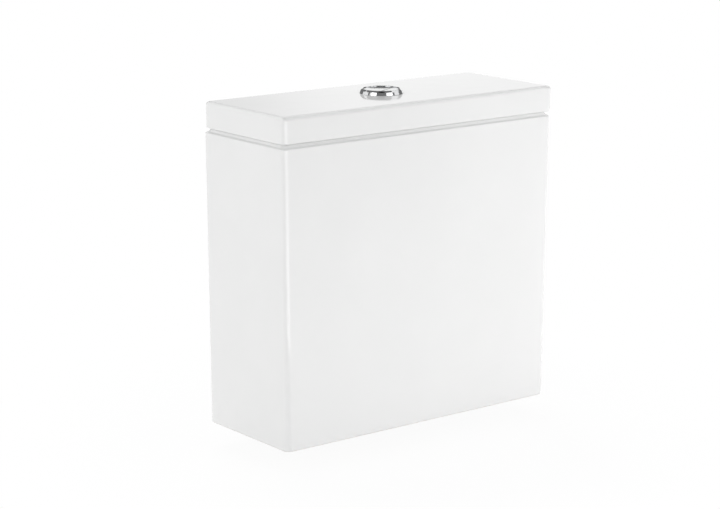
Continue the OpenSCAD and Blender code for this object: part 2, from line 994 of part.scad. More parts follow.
module shank_nut() {
    color(black_plastic)
        at_inlet()
            difference() {
                union() {
                    translate([0, 0, skirt_h - shank_nut_h])
                        cylinder(r = shank_r + shank_nut_w, h = shank_nut_h, $fn = 6);
                    translate([0, 0, skirt_h - shank_nut_flange_t])
                        cylinder(r = shank_r + shank_nut_flange_w, h = shank_nut_flange_t);
                }
                translate([0, 0, skirt_h - shank_nut_h - through])
                    cylinder(r = shank_r + thread_gap, h = shank_nut_h + 2 * through);
            }
}

module riser_tube() {
    color(white_plastic)
        at_inlet()
            ring(riser_r - riser_t, riser_r, socket_z + socket_seat, head_z + head_seat);
}

// Twist ring that locks the riser at its height
module height_collar() {
    collar_in = riser_r + thread_gap;
    collar_r = collar_in + socket_t + collar_w;
    collar_z = socket_top - collar_grip;
    color(grey_plastic)
        at_inlet()
            difference() {
                grip_ring(collar_in, collar_r, collar_z, socket_top + collar_rise,
                          collar_grips, collar_grip_r);
                translate([0, 0, collar_z - through])
                    cylinder(r = collar_in + socket_t + thread_gap, h = collar_grip + through);
            }
}

module fill_head() {
    color(white_plastic)
        at_inlet()
            difference() {
                union() {
                    translate([0, 0, head_z])
                        cylinder(r = head_r, h = head_h);
                    translate([0, 0, pipe_z])
                        rotate([-90, 0, 0])
                            cylinder(r = pipe_r + pipe_t, h = spout_y);
                }
                translate([0, 0, head_z - through])
                    cylinder(r = riser_r + thread_gap, h = head_seat + through);
                translate([0, 0, head_z])
                    cylinder(r = riser_r - riser_t, h = head_h + through);
                translate([0, 0, head_z + head_h - dish_h])
                    cylinder(r = head_r - dish_w, h = dish_h + through);
                translate([0, head_r / 2, pipe_z])
                    rotate([-90, 0, 0])
                        cylinder(r = pipe_r - pipe_t, h = spout_y);
                translate([0, spout_y - spout_seat, pipe_z])
                    rotate([-90, 0, 0])
                        cylinder(r = pipe_r + thread_gap, h = spout_seat + through);
            }
}

module diaphragm() {
    color(rubber)
        at_inlet()
            translate([0, 0, head_z + head_h])
                cylinder(r = head_r - diaphragm_inset, h = diaphragm_t);
}

module head_cap() {
    color(black_plastic)
        at_inlet()
            difference() {
                union() {
                    grip_ring(vent_r, head_cap_r, cap_z, head_cap_top, cap_grips, cap_grip_r);
                    translate([nozzle_x, 0, head_cap_top - through])
                        cylinder(r = nozzle_r, h = nozzle_h + through);
                    for (side = [-1, 1])
                        translate([pivot_x, side * (arm_ear_in + arm_ear_t / 2), 0]) {
                            translate([-arm_ear_r, -arm_ear_t / 2, head_cap_top - through])
                                cube([2 * arm_ear_r, arm_ear_t, pivot_z - head_cap_top + through]);
                            translate([0, arm_ear_t / 2, pivot_z])
                                rotate([90, 0, 0])
                                    cylinder(r = arm_ear_r, h = arm_ear_t);
                        }
                }
                translate([pivot_x, arm_ear_in + arm_ear_t + through, pivot_z])
                    rotate([90, 0, 0])
                        cylinder(r = arm_pin_r + pin_gap, h = 2 * (arm_ear_in + arm_ear_t + through));
            }
}

// Places a piece drawn with the arm level and its pin at the origin
module on_arm() {
    at_inlet()
        translate([pivot_x, 0, pivot_z])
            rotate([0, -half_swing, 0])
                children();
}

module float_arm() {
    slot_h = link_pin_r + rest_gap / 2;
    color(grey_plastic)
        on_arm()
            difference() {
                rotate([90, 0, 0])
                    linear_extrude(2 * arm_half, center = true)
                        difference() {
                            union() {
                                translate([-link_arm, 0])
                                    circle(r = arm_end_r);
                                circle(r = arm_hub_r);
                                translate([pilot_arm, 0])
                                    circle(r = arm_thick / 2);
                                translate([-link_arm, -arm_thick / 2])
                                    square([link_arm + pilot_arm, arm_thick]);
                            }
                            circle(r = arm_pin_r + pin_gap);
                            for (side = [-1, 1])
                                translate([-link_arm + side * slot_play, 0])
                                    circle(r = slot_h);
                            translate([-link_arm - slot_play, -slot_h])
                                square([2 * slot_play, 2 * slot_h]);
                        }
                translate([-link_arm - fork_depth, -fork_half, -arm_end_r - through])
                    cube([fork_depth + link_eye_r + fork_room, 2 * fork_half, 2 * (arm_end_r + through)]);
            }
}

module arm_pin() {
    pin_half = arm_ear_in + arm_ear_t + pin_head_t;
    color(steel)
        at_inlet()
            translate([pivot_x, pin_half, pivot_z])
                rotate([90, 0, 0]) {
                    cylinder(r = arm_pin_r, h = 2 * pin_half);
                    cylinder(r = arm_pin_r + pin_head_w, h = pin_head_t);
                }
}

module pilot_seal() {
    color(rubber)
        on_arm()
            translate([pilot_arm, 0, -pilot_drop])
                rotate_extrude()
                    polygon([
                        [0, 0],
                        [pilot_nose_r, 0],
                        [pilot_r, pilot_nose_h],
                        [pilot_r, pilot_h],
                        [0, pilot_h]
                    ]);
}

// Upturned cup that slides on the riser, with a boss for the link
module fill_float() {
    color(blue_plastic)
        at_inlet()
            difference() {
                union() {
                    translate([0, 0, float_z])
                        cylinder(r = float_r, h = float_h);
                    translate([link_x, 0, float_top - through])
                        cylinder(r = float_boss_r, h = float_boss_h + through);
                }
                difference() {
                    translate([0, 0, float_z - through])
                        cylinder(r = float_r - float_t, h = float_h - float_t + through);
                    translate([0, 0, float_z - 2 * through])
                        cylinder(r = float_guide + float_t, h = float_h + 2 * through);
                }
                translate([0, 0, float_z - through])
                    cylinder(r = float_guide, h = float_h + 2 * through);
                translate([link_x, 0, float_top - float_t - through])
                    cylinder(r = link_r + thread_gap, h = float_boss_h + float_t + 2 * through);
            }
}

module float_link() {
    link_foot = float_top - float_t - link_tail;
    color(white_plastic)
        at_inlet()
            translate([link_x, 0, 0]) {
                translate([0, 0, link_foot])
                    cylinder(r = link_r, h = link_z - link_foot);
                translate([0, 0, link_z])
                    rotate([90, 0, 0]) {
                        cylinder(r = link_eye_r, h = 2 * link_eye_half, center = true);
                        cylinder(r = link_pin_r, h = 2 * arm_half, center = true);
                    }
            }
}

// Thumb nut that sets the water level
module level_adjuster() {
    color(red_plastic)
        at_inlet()
            translate([link_x, 0, 0])
                grip_ring(link_r + thread_gap, adjuster_r, adjuster_z, adjuster_z + adjuster_h,
                          adjuster_grips, adjuster_grip_r);
}

// Elbow and straight pipe that lead the water quietly to the floor
module fill_downpipe() {
    bend_y = pipe_y - pipe_bend;
    pipe_start = spout_y - spout_seat;
    color(white_plastic)
        at_inlet()
            difference() {
                union() {
                    translate([0, pipe_start, pipe_z])
                        rotate([-90, 0, 0])
                            cylinder(r = pipe_r, h = bend_y - pipe_start);
                    translate([0, bend_y, pipe_z - pipe_bend])
                        rotate([0, -90, 0])
                            rotate_extrude(angle = 90)
                                translate([pipe_bend, 0])
                                    circle(r = pipe_r);
                    translate([0, pipe_y, pipe_foot])
                        cylinder(r = pipe_r, h = pipe_z - pipe_bend - pipe_foot);
                }
                translate([0, pipe_start - through, pipe_z])
                    rotate([-90, 0, 0])
                        cylinder(r = pipe_r - pipe_t, h = bend_y - pipe_start + through);
                translate([0, bend_y, pipe_z - pipe_bend])
                    rotate([0, -90, 0])
                        rotate_extrude(angle = 90)
                            translate([pipe_bend, 0])
                                circle(r = pipe_r - pipe_t);
                translate([0, pipe_y, pipe_foot - through])
                    cylinder(r = pipe_r - pipe_t, h = pipe_z - pipe_bend - pipe_foot + through);
            }
}

module coupling_bolts() {
    head_foot = bolt_washer_z + bolt_washer_t;
    color(steel)
        at_bolts() {
            translate([0, 0, head_foot])
                cylinder(r = hex_r, h = bolt_head_h, $fn = 6);
            translate([0, 0, locknut_foot])
                cylinder(r = neck_r, h = head_foot - locknut_foot + through);
            translate([0, 0, -bolt_drop])
                cylinder(r = stud_r, h = locknut_foot + bolt_drop);
        }
}

// Rubber washer with a cone that seals the hole in the floor
module bolt_seals() {
    color(rubber)
        at_bolts()
            rotate_extrude()
                polygon([
                    [neck_r + thread_gap, deck_z - bolt_seal_nose],
                    [neck_r + bolt_nose_w, deck_z - bolt_seal_nose],
                    [bolt_hole_r - thread_gap, deck_z],
                    [bolt_seal_r, deck_z],
                    [bolt_seal_r - bolt_seal_draft, deck_z + bolt_seal_t],
                    [neck_r + thread_gap, deck_z + bolt_seal_t]
                ]);
}

module bolt_washers() {
    color(steel)
        at_bolts()
            ring(neck_r + thread_gap, bolt_washer_r, bolt_washer_z, bolt_washer_z + bolt_washer_t);
}

module floor_washers() {
    color(rubber)
        at_bolts()
            ring(neck_r + thread_gap, bolt_washer_r, skirt_h - floor_washer_t, skirt_h);
}

module bolt_locknuts() {
    color(steel)
        at_bolts()
            translate([0, 0, locknut_foot])
                difference() {
                    cylinder(r = hex_r, h = locknut_h, $fn = 6);
                    translate([0, 0, -through])
                        cylinder(r = neck_r + thread_gap, h = locknut_h + 2 * through);
                }
}

tank();
lid();
button_bezel();
button_housing();
housing_nut();
full_flush_button();
half_flush_button();
full_push_rod();
half_push_rod();
full_return_spring();
half_return_spring();
valve_base();
base_gasket();
valve_backnut();
coupling_gasket();
valve_cage();
overflow_tube();
flush_seal();
seal_retainer();
partial_float();
full_lever();
half_lever();
lever_pin();
inlet_shank();
inlet_filter();
shank_washer();
shank_nut();
riser_tube();
height_collar();
fill_head();
diaphragm();
head_cap();
float_arm();
arm_pin();
pilot_seal();
fill_float();
float_link();
level_adjuster();
fill_downpipe();
coupling_bolts();
bolt_seals();
bolt_washers();
floor_washers();
bolt_locknuts();
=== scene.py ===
"""Close-coupled cistern: glazed tank and lid, chrome dual-flush button, and the fittings they carry."""

import json
import math

import bmesh
import bpy
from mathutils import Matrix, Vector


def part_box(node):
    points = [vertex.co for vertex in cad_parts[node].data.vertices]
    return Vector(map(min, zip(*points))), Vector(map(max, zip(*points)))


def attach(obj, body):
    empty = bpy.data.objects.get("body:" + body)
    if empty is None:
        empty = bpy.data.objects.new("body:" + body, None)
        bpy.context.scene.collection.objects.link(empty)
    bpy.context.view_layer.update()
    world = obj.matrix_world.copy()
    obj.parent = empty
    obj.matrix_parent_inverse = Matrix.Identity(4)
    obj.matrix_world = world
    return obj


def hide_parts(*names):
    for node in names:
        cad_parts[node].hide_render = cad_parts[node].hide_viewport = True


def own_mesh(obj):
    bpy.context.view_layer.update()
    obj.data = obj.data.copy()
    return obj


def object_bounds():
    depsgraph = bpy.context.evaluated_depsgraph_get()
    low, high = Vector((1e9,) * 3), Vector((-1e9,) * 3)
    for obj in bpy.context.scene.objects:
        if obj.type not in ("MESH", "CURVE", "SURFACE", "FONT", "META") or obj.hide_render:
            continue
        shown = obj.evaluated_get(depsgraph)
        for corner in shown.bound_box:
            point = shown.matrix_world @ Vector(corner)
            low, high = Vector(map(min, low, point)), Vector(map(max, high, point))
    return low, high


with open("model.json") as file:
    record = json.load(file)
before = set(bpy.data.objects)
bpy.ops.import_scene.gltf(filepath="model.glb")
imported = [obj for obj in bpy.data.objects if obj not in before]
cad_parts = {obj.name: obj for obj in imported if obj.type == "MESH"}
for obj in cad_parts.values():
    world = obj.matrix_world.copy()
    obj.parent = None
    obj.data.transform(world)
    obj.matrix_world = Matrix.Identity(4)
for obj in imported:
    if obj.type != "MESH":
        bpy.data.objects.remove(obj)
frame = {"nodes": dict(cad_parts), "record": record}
cad_box = [list(corner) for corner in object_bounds()]

MM = 0.001

# Modelling
CORNER_STEPS = 10
ROUND_SIDES = 72
FINE_SIDES = 128
ARC_STEP = math.radians(15)
LEAST_STEP = 0.02
STACK = 0.05
DRILL_PAST = 5 * MM
NORMAL_WEIGHT = 60
MERGE_REACH = 0.002 * MM
FLAT_ANGLE = math.radians(0.5)
EDGE_ROUND = 0.3 * MM

# Tank and lid
TANK_HALF_W = 194.5 * MM
TANK_HALF_D = 77 * MM
SHOULDER_Z = 339 * MM
END_LEAN = 3.3 * MM
FRONT_LEAN = 1.3 * MM
OUTLET_HOLE_R = 32.8 * MM
BOLT_X = 77.5 * MM
BOLT_HOLE_R = 6 * MM
INLET_X = -125 * MM
INLET_HOLE_R = 13 * MM
FLOOR_FOOT = 20 * MM
FLOOR_TOP = 31 * MM
LID_UNDER = 365.3 * MM
LID_TOP = 375.3 * MM
BUTTON_HOLE_R = 22.9 * MM

# Push button
SPLIT_TURN = math.radians(25)
SPLIT_SHIFT = 5 * MM
SPLIT_GAP = 0.6 * MM
CAP_ROUND = 0.25 * MM
ROD_X = 3.3 * MM
ROD_Y = 13.33 * MM
SHELF_TOP = 364.6 * MM

# Finishes
WHITE = (1, 1, 1, 1)
GLAZE_IOR = 1.5
PLASTIC_IOR = 1.49

# Picture
EYE = (-1.5327, -1.9376, 0.7409)
EYE_YAW = math.radians(-37.78)
EYE_PITCH = math.radians(12.672)
EYE_LENS = 108.59
# Where the painted edge highlight and painted edge shade are seen: the edge's axis, and the reach over which
# they fade out
NEAR_EDGE = (-186.5 * MM, -69.5 * MM)
EDGE_REACH = 6 * MM
EDGE_CLEAR = 7.2 * MM
FLOOR_WIDTH = 8
FLOOR_DROP = 0.5 * MM
SHADOW_SHARE = 0.05
WORLD_LIGHT = 0.5


# Modelling

def begin(name):
    """A new piece at the origin, open in edit mode, with nothing in its mesh yet."""
    bpy.ops.object.select_all(action="DESELECT")
    bpy.ops.mesh.primitive_plane_add(size=1)
    piece = bpy.context.object
    piece.name = piece.data.name = name
    bpy.ops.object.mode_set(mode="EDIT")
    bpy.ops.mesh.select_mode(type="EDGE")
    bpy.ops.mesh.select_all(action="SELECT")
    bpy.ops.mesh.delete(type="VERT")
    return piece


def slab_ring(z, x, front, back, corner):
    """A rounded rectangle, selected."""
    middle = (0, (front + back) / 2, z)
    bpy.ops.mesh.select_all(action="DESELECT")
    bpy.ops.mesh.primitive_plane_add(size=1, location=middle)
    bpy.ops.transform.resize(value=(2 * x, back - front, 1), center_override=middle)
    bpy.ops.mesh.bevel(affect="VERTICES", offset=corner, segments=CORNER_STEPS)


def round_ring(z, radius, centre=(0, 0), sides=ROUND_SIDES):
    """A circle, selected."""
    bpy.ops.mesh.select_all(action="DESELECT")
    bpy.ops.mesh.primitive_circle_add(vertices=sides, radius=radius, fill_type="NGON", location=(*centre, z))


def close_skin():
    """Turns all the faces outwards."""
    bpy.ops.mesh.select_all(action="SELECT")
    bpy.ops.mesh.normals_make_consistent(inside=False)


def pick_rings(piece, *numbers):
    """Selects the edges of the rings with these numbers."""
    bpy.ops.mesh.select_all(action="DESELECT")
    mesh = bmesh.from_edit_mesh(piece.data)
    tag = mesh.verts.layers.int["ring"]
    for edge in mesh.edges:
        first, last = (vert[tag] for vert in edge.verts)
        if first == last and first in numbers:
            edge.select_set(True)
    bmesh.update_edit_mesh(piece.data)


def loft(name, add_ring, rings, joined=False):
    """One skin through the rings in order: they are stacked well apart, bridged, and then moved to
    their heights. The ends are capped, or joined to each other."""
    piece = begin(name)
    bmesh.from_edit_mesh(piece.data).verts.layers.int.new("ring")
    for number, (_, *shape) in enumerate(rings, 1):
        add_ring(number * STACK, *shape)
        mesh = bmesh.from_edit_mesh(piece.data)
        tag = mesh.verts.layers.int["ring"]
        for vert in mesh.verts:
            if vert.select:
                vert[tag] = number
        bpy.ops.mesh.delete(type="ONLY_FACE")
    for number in range(1, len(rings)):
        pick_rings(piece, number, number + 1)
        bpy.ops.mesh.bridge_edge_loops()
    if joined:
        pick_rings(piece, 1, len(rings))
        bpy.ops.mesh.bridge_edge_loops()
    for number, (z, *_) in enumerate(rings, 1):
        pick_rings(piece, number)
        bpy.ops.transform.translate(value=(0, 0, z - number * STACK))
    mesh = bmesh.from_edit_mesh(piece.data)
    mesh.verts.layers.int.remove(mesh.verts.layers.int["ring"])
    bpy.ops.mesh.select_all(action="SELECT")
    if not joined:
        bpy.ops.mesh.fill_holes(sides=0)
    close_skin()
    bpy.ops.object.mode_set(mode="OBJECT")
    return piece


def rounded(points):
    """A line of points (across, up, extras..., rounding), in millimetres, with each inner corner drawn
    as an arc."""
    line = []
    for number, (*here, size) in enumerate(points):
        if number in (0, len(points) - 1) or not size:
            line.append(here)
            continue
        before, after = points[number - 1][:-1], points[number + 1][:-1]
        back = [b - h for b, h in zip(before, here)]
        ahead = [a - h for a, h in zip(after, here)]
        back_l, ahead_l = math.hypot(*back[:2]), math.hypot(*ahead[:2])
        turn = math.acos(max(-1, min(1, (back[0] * ahead[0] + back[1] * ahead[1]) / back_l / ahead_l)))
        reach = size / math.tan(turn / 2)
        start = [h + b * reach / back_l for h, b in zip(here, back)]
        stop = [h + a * reach / ahead_l for h, a in zip(here, ahead)]
        middle = [(s + t) / 2 for s, t in zip(start[:2], stop[:2])]
        away = [m - h for m, h in zip(middle, here)]
        away_l = math.hypot(*away)
        hub = [h + a * math.hypot(reach, size) / away_l for h, a in zip(here, away)]
        sweep = math.pi - turn
        steps = max(2, math.ceil(sweep / ARC_STEP))
        first = math.atan2(start[1] - hub[1], start[0] - hub[0])
        last = math.atan2(stop[1] - hub[1], stop[0] - hub[0])
        swing = (last - first + math.pi) % (2 * math.pi) - math.pi
        for step in range(steps + 1):
            part = step / steps
            angle = first + swing * part
            place = [hub[0] + size * math.cos(angle), hub[1] + size * math.sin(angle)]
            extras = [s + (t - s) * part for s, t in zip(start[2:], stop[2:])]
            if not line or math.dist(line[-1][:2], place) > LEAST_STEP:
                line.append(place + extras)
    return line


def slab_rings(points):
    """Rings from a line of (inset, height, corner radius, set-back of the back, rounding), in millimetres."""
    rings = []
    for inset, z, corner, set_back in rounded(points):
        z *= MM
        lean = max(0, 1 - z / SHOULDER_Z)
        inset *= MM
        rings.append((z, TANK_HALF_W - END_LEAN * lean - inset, FRONT_LEAN * lean + inset - TANK_HALF_D,
                      TANK_HALF_D - inset - set_back * MM, corner * MM))
    return rings


def round_rings(points, centre=(0, 0), sides=ROUND_SIDES):
    """Rings from a line of (radius, height, rounding), in millimetres."""
    return [(z * MM, r * MM, centre, sides) for r, z in rounded(points)]


def use(piece):
    """Makes a piece the only selected one."""
    bpy.ops.object.select_all(action="DESELECT")
    piece.select_set(True)
    bpy.context.view_layer.objects.active = piece


def open_all(piece):
    """Opens a piece in edit mode, all of it selected."""
    use(piece)
    bpy.ops.object.mode_set(mode="EDIT")
    bpy.ops.mesh.select_all(action="SELECT")


def modify(piece, kind, **settings):
    """Adds a modifier, sets it and applies it."""
    use(piece)
    bpy.ops.object.modifier_add(type=kind)
    modifier = piece.modifiers[-1]
    for name, value in settings.items():
        setattr(modifier, name, value)
    bpy.ops.object.modifier_apply(modifier=modifier.name)


def combine(piece, operation, *tools):
    """Cuts the tools out of a piece, or joins them to it, and removes them."""
    for tool in tools:
        modify(piece, "BOOLEAN", operation=operation, solver="EXACT", object=tool)
        bpy.data.objects.remove(tool)


def drill(radius, low, high, centre=(0, 0), sides=48):
    """A round cutter for a wall between two heights, reaching past both faces."""
    ends = (low - DRILL_PAST, high + DRILL_PAST)
    return loft("drill", round_ring, [(z, radius, centre, sides) for z in ends])


def smooth(piece, angle=35):
    """Shades a piece smooth, with edges kept sharp past the angle in degrees."""
    use(piece)
    bpy.ops.object.shade_smooth_by_angle(angle=math.radians(angle))
    modify(piece, "WEIGHTED_NORMAL", keep_sharp=True, weight=NORMAL_WEIGHT)


def soften(piece, width, angle):
    """Rounds the sharp edges a little, as moulding or casting does."""
    modify(piece, "BEVEL", width=width, segments=2, limit_method="ANGLE",
           angle_limit=math.radians(angle), use_clamp_overlap=True, miter_outer="MITER_ARC")
    smooth(piece)


def finish(piece, material, body, slot, *nodes):
    """Dresses a piece, rides it on its body and lets it stand for its CAD nodes."""
    piece.data.materials.clear()
    piece.data.materials.append(material)
    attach(piece, body)
    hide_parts(*nodes)


# Finishes

class Wire:
    """A socket in a tree of shader nodes; Python's operators on it add Math nodes."""

    def __init__(self, tree, socket=None):
        self.tree = tree
        self.socket = socket

    def node(self, kind, settings=None, values=None, out=0):
        """Adds a node, sets it up, then fills or links its inputs."""
        made = self.tree.nodes.new(kind)
        for name, value in (settings or {}).items():
            setattr(made, name, value)
        for name, value in (values or {}).items():
            if isinstance(value, Wire):
                self.tree.links.new(value.socket, made.inputs[name])
            else:
                made.inputs[name].default_value = value
        return Wire(self.tree, made.outputs[out]) if len(made.outputs) else made

    def math(self, operation, first, second):
        """A Math node on two values."""
        return self.node("ShaderNodeMath", {"operation": operation}, {0: first, 1: second})

    def __add__(self, other):
        return self.math("ADD", self, other)

    def __radd__(self, other):
        return self.math("ADD", other, self)

    def __sub__(self, other):
        return self.math("SUBTRACT", self, other)

    def __rsub__(self, other):
        return self.math("SUBTRACT", other, self)

    def __mul__(self, other):
        return self.math("MULTIPLY", self, other)

    def __rmul__(self, other):
        return self.math("MULTIPLY", other, self)

    def noise(self, place, scale, detail=2.0, roughness=0.5):
        """Noise between 0 and 1, with so many spots to the metre."""
        return self.node("ShaderNodeTexNoise", None,
                         {"Vector": place, "Scale": scale, "Detail": detail, "Roughness": roughness})

    def ramp(self, low, high):
        """0 below low, 1 above high, smooth between."""
        return self.node("ShaderNodeMapRange", {"interpolation_type": "SMOOTHSTEP"},
                         {"Value": self, "From Min": low, "From Max": high})

    def blend(self, low, high):
        """A colour between two, by this value."""
        return self.node("ShaderNodeMix", {"data_type": "RGBA"}, {"Factor": self, 6: low, 7: high}, out=2)

    def bump(self, strength, distance):
        """A normal that follows this value as a height."""
        return self.node("ShaderNodeBump", None, {"Height": self, "Strength": strength, "Distance": distance})


def surface(name):
    """A new material: its wire, its object coordinates and its principled shader."""
    material = bpy.data.materials.new(name)
    material.use_nodes = True
    tree = material.node_tree
    shader = next(n for n in tree.nodes if n.type == "BSDF_PRINCIPLED")
    wire = Wire(tree)
    place = wire.node("ShaderNodeTexCoord", out="Object")
    return material, wire, place, shader


def feed(wire, shader, **inputs):
    """Fills or links a shader's inputs by name."""
    for name, value in inputs.items():
        socket = shader.inputs[name.replace("_", " ")]
        if isinstance(value, Wire):
            wire.tree.links.new(value.socket, socket)
        else:
            socket.default_value = value


def glaze():
    """White gloss glaze, with faint clouds, an even orange peel, and bare fired clay on the rim that
    stands on the pan."""
    material, wire, place, shader = surface("white_glaze")
    clouds = wire.noise(place, scale=9, detail=3).ramp(0.35, 0.7)
    height = wire.node("ShaderNodeSeparateXYZ", None, {"Vector": place}, out="Z")
    grain = wire.noise(place, scale=1400, detail=3, roughness=0.7)
    edge = wire.noise(place, scale=120, detail=2)
    bare = 1 - (height + edge * (1.2 * MM)).ramp(0.9 * MM, 1.8 * MM)
    pale = clouds.blend((0.800, 0.802, 0.800, 1), (0.815, 0.816, 0.814, 1))
    clay = grain.ramp(0.3, 0.7).blend((0.66, 0.62, 0.56, 1), (0.74, 0.71, 0.66, 1))
    colour = bare.blend(pale, clay)
    slow = wire.noise(place, scale=22, detail=1)
    peel = wire.noise(place, scale=260, detail=1)
    wave = (slow + peel * 0.035 + grain * bare * 0.05).bump(strength=0.5, distance=0.6 * MM)
    feed(wire, shader, Base_Color=colour, Roughness=0.06 + clouds * 0.03 + bare * 0.6, Normal=wave,
         IOR=GLAZE_IOR)
    return material


def chrome():
    """Bright chrome plating with a soft polish and faint wipe marks."""
    material, wire, place, shader = surface("bright_chrome")
    wiped = wire.noise(place, scale=240, detail=4, roughness=0.6)
    colour = wiped.ramp(0.3, 0.7).blend((0.70, 0.71, 0.72, 1), (0.78, 0.785, 0.79, 1))
    polish = wire.noise(place, scale=90, detail=1).bump(strength=0.12, distance=0.4 * MM)
    feed(wire, shader, Base_Color=colour, Metallic=1.0, Roughness=0.05 + wiped * 0.06, Normal=polish)
    return material


def plastic(name, low, high, roughness):
    """Moulded plastic: flow marks in its colour, and a fine spark-eroded grain."""
    material, wire, place, shader = surface(name)
    flow = wire.node("ShaderNodeMapping", None, {"Vector": place, "Scale": (1, 1, 0.25)})
    marks = wire.noise(flow, scale=45, detail=4, roughness=0.6).ramp(0.3, 0.7)
    grain = wire.noise(place, scale=2600, detail=2)
    feed(wire, shader, Base_Color=marks.blend(low, high), Roughness=roughness + marks * 0.1 + grain * 0.06,
         Normal=(marks * 0.3 + grain).bump(strength=0.12, distance=0.2 * MM), IOR=PLASTIC_IOR)
    return material


def rubber():
    """Black moulded rubber, dusty in patches."""
    material, wire, place, shader = surface("black_rubber")
    dust = wire.noise(place, scale=70, detail=5, roughness=0.65).ramp(0.45, 0.75)
    grain = wire.noise(place, scale=1800, detail=2)
    feed(wire, shader, Base_Color=dust.blend((0.018, 0.018, 0.019, 1), (0.05, 0.05, 0.052, 1)),
         Roughness=0.55 + dust * 0.25,
         Normal=grain.bump(strength=0.3, distance=0.2 * MM))
    return material


def foam():
    """Closed-cell sponge rubber, with open cells on its cut skin, the cells darkened with painted shade."""
    material, wire, place, shader = surface("sponge_rubber")
    cells = wire.node("ShaderNodeTexVoronoi", {"feature": "F1"},
                      {"Vector": place, "Scale": 620, "Randomness": 1})
    pits_and_pit_shade = 1 - cells.ramp(0.05, 0.55)
    patches = wire.noise(place, scale=60, detail=3).ramp(0.35, 0.7)
    # The cells are painted darker, as painted shade in their hollows; the same mask sinks them in the bump
    feed(wire, shader, Base_Color=pits_and_pit_shade.blend((0.055, 0.055, 0.056, 1), (0.022, 0.022, 0.023, 1)),
         Roughness=0.8 + patches * 0.15,
         Normal=(1 - pits_and_pit_shade + patches * 0.3).bump(strength=0.7, distance=0.6 * MM))
    return material


def steel():
    """Zinc-plated steel with spangled patches and drawn lines."""
    material, wire, place, shader = surface("zinc_steel")
    spangle = wire.node("ShaderNodeTexVoronoi", {"feature": "F1"},
                        {"Vector": place, "Scale": 420}, out="Color")
    tone = wire.node("ShaderNodeSeparateColor", None, {"Color": spangle})
    drawing = wire.node("ShaderNodeMapping", None, {"Vector": place, "Scale": (1, 1, 0.05)})
    drawn = wire.noise(drawing, scale=1500, detail=2)
    feed(wire, shader, Base_Color=tone.blend((0.50, 0.51, 0.53, 1), (0.60, 0.61, 0.62, 1)), Metallic=1.0,
         Roughness=0.24 + tone * 0.12 + drawn * 0.1,
         Normal=drawn.bump(strength=0.15, distance=0.2 * MM))
    return material


# Each plastic's darker and lighter colour, and its roughness
PLASTICS = {
    "white_plastic": ((0.74, 0.74, 0.72, 1), (0.79, 0.79, 0.77, 1), 0.32),
    "grey_plastic": ((0.33, 0.34, 0.35, 1), (0.38, 0.39, 0.40, 1), 0.36),
    "blue_plastic": ((0.05, 0.17, 0.42, 1), (0.06, 0.20, 0.48, 1), 0.30),
    "red_plastic": ((0.50, 0.035, 0.03, 1), (0.58, 0.045, 0.035, 1), 0.30),
    "black_plastic": ((0.020, 0.020, 0.021, 1), (0.032, 0.032, 0.034, 1), 0.38),
}
FINISHES = {
    "ceramic": glaze(),
    "chrome": chrome(),
    **{name: plastic(name, *look) for name, look in PLASTICS.items()},
    "rubber": rubber(),
    "foam": foam(),
    "steel": steel(),
}


# Ceramic

def make_tank():
    """The tank's skin runs from its floor up the inside, over the top edge, down the outside and under
    the rim."""
    tank = loft("glazed_tank", slab_ring, slab_rings([
        (22, 31, 2, 0, 0),
        (10, 31, 14, 0, 11.9),
        (10, 345, 14, 0, 1.6),
        (4, 345, 10, 0, 2.6),
        (2.6, 341.2, 8.5, 0, 0.5),
        (0, 339.6, 7, 0, 1.2),
        (0, 0, 7, 0, 1.5),
        (13, 0, 14, 0, 2),
        (13, 20, 14, 0, 3.9),
        (17, 20, 10, 0, 0),
    ]))
    combine(tank, "DIFFERENCE", drill(OUTLET_HOLE_R, FLOOR_FOOT, FLOOR_TOP, sides=ROUND_SIDES),
            drill(INLET_HOLE_R, FLOOR_FOOT, FLOOR_TOP, (INLET_X, 0)),
            *(drill(BOLT_HOLE_R, FLOOR_FOOT, FLOOR_TOP, (x, 0), 32) for x in (-BOLT_X, BOLT_X)))
    smooth(tank)
    finish(tank, FINISHES["ceramic"], "cistern", "ceramic", "tank")


def make_lid():
    """The lid's skin runs from its ceiling down the lip, out under the edge and up over the top."""
    lid = loft("glazed_lid", slab_ring, slab_rings([
        (22.5, 365.3, 1.5, 0, 0),
        (18.5, 365.3, 5.5, 0, 3.9),
        (18.5, 337.3, 5.5, 0, 1.5),
        (12.5, 337.3, 11.5, 0, 1.5),
        (12.5, 345.3, 11.5, 0, 1.5),
        (-0.7, 345.3, 7, 3.7, 1.5),
        (-0.7, 375.3, 7, 3.7, 4.5),
        (3.9, 375.3, 2.4, 3.7, 0),
    ]))
    combine(lid, "DIFFERENCE", drill(BUTTON_HOLE_R, LID_UNDER, LID_TOP, sides=ROUND_SIDES))
    smooth(lid)
    finish(lid, FINISHES["ceramic"], "lid", "ceramic", "lid")


# Push button

def make_bezel():
    """The ring round the buttons: a slanted wall with a bevelled top edge."""
    bezel = loft("chrome_bezel", round_ring, round_rings([
        (22.8, 375.35, 0),
        (25, 375.35, 0.25),
        (23.7, 378.9, 0.8),
        (21.6, 380.8, 0.8),
        (21, 380.8, 0.2),
        (21, 376.85, 0.2),
        (23.9, 376.85, 0),
    ], sides=FINE_SIDES), joined=True)
    smooth(bezel, angle=50)
    finish(bezel, FINISHES["chrome"], "lid", "chrome", "button_bezel")


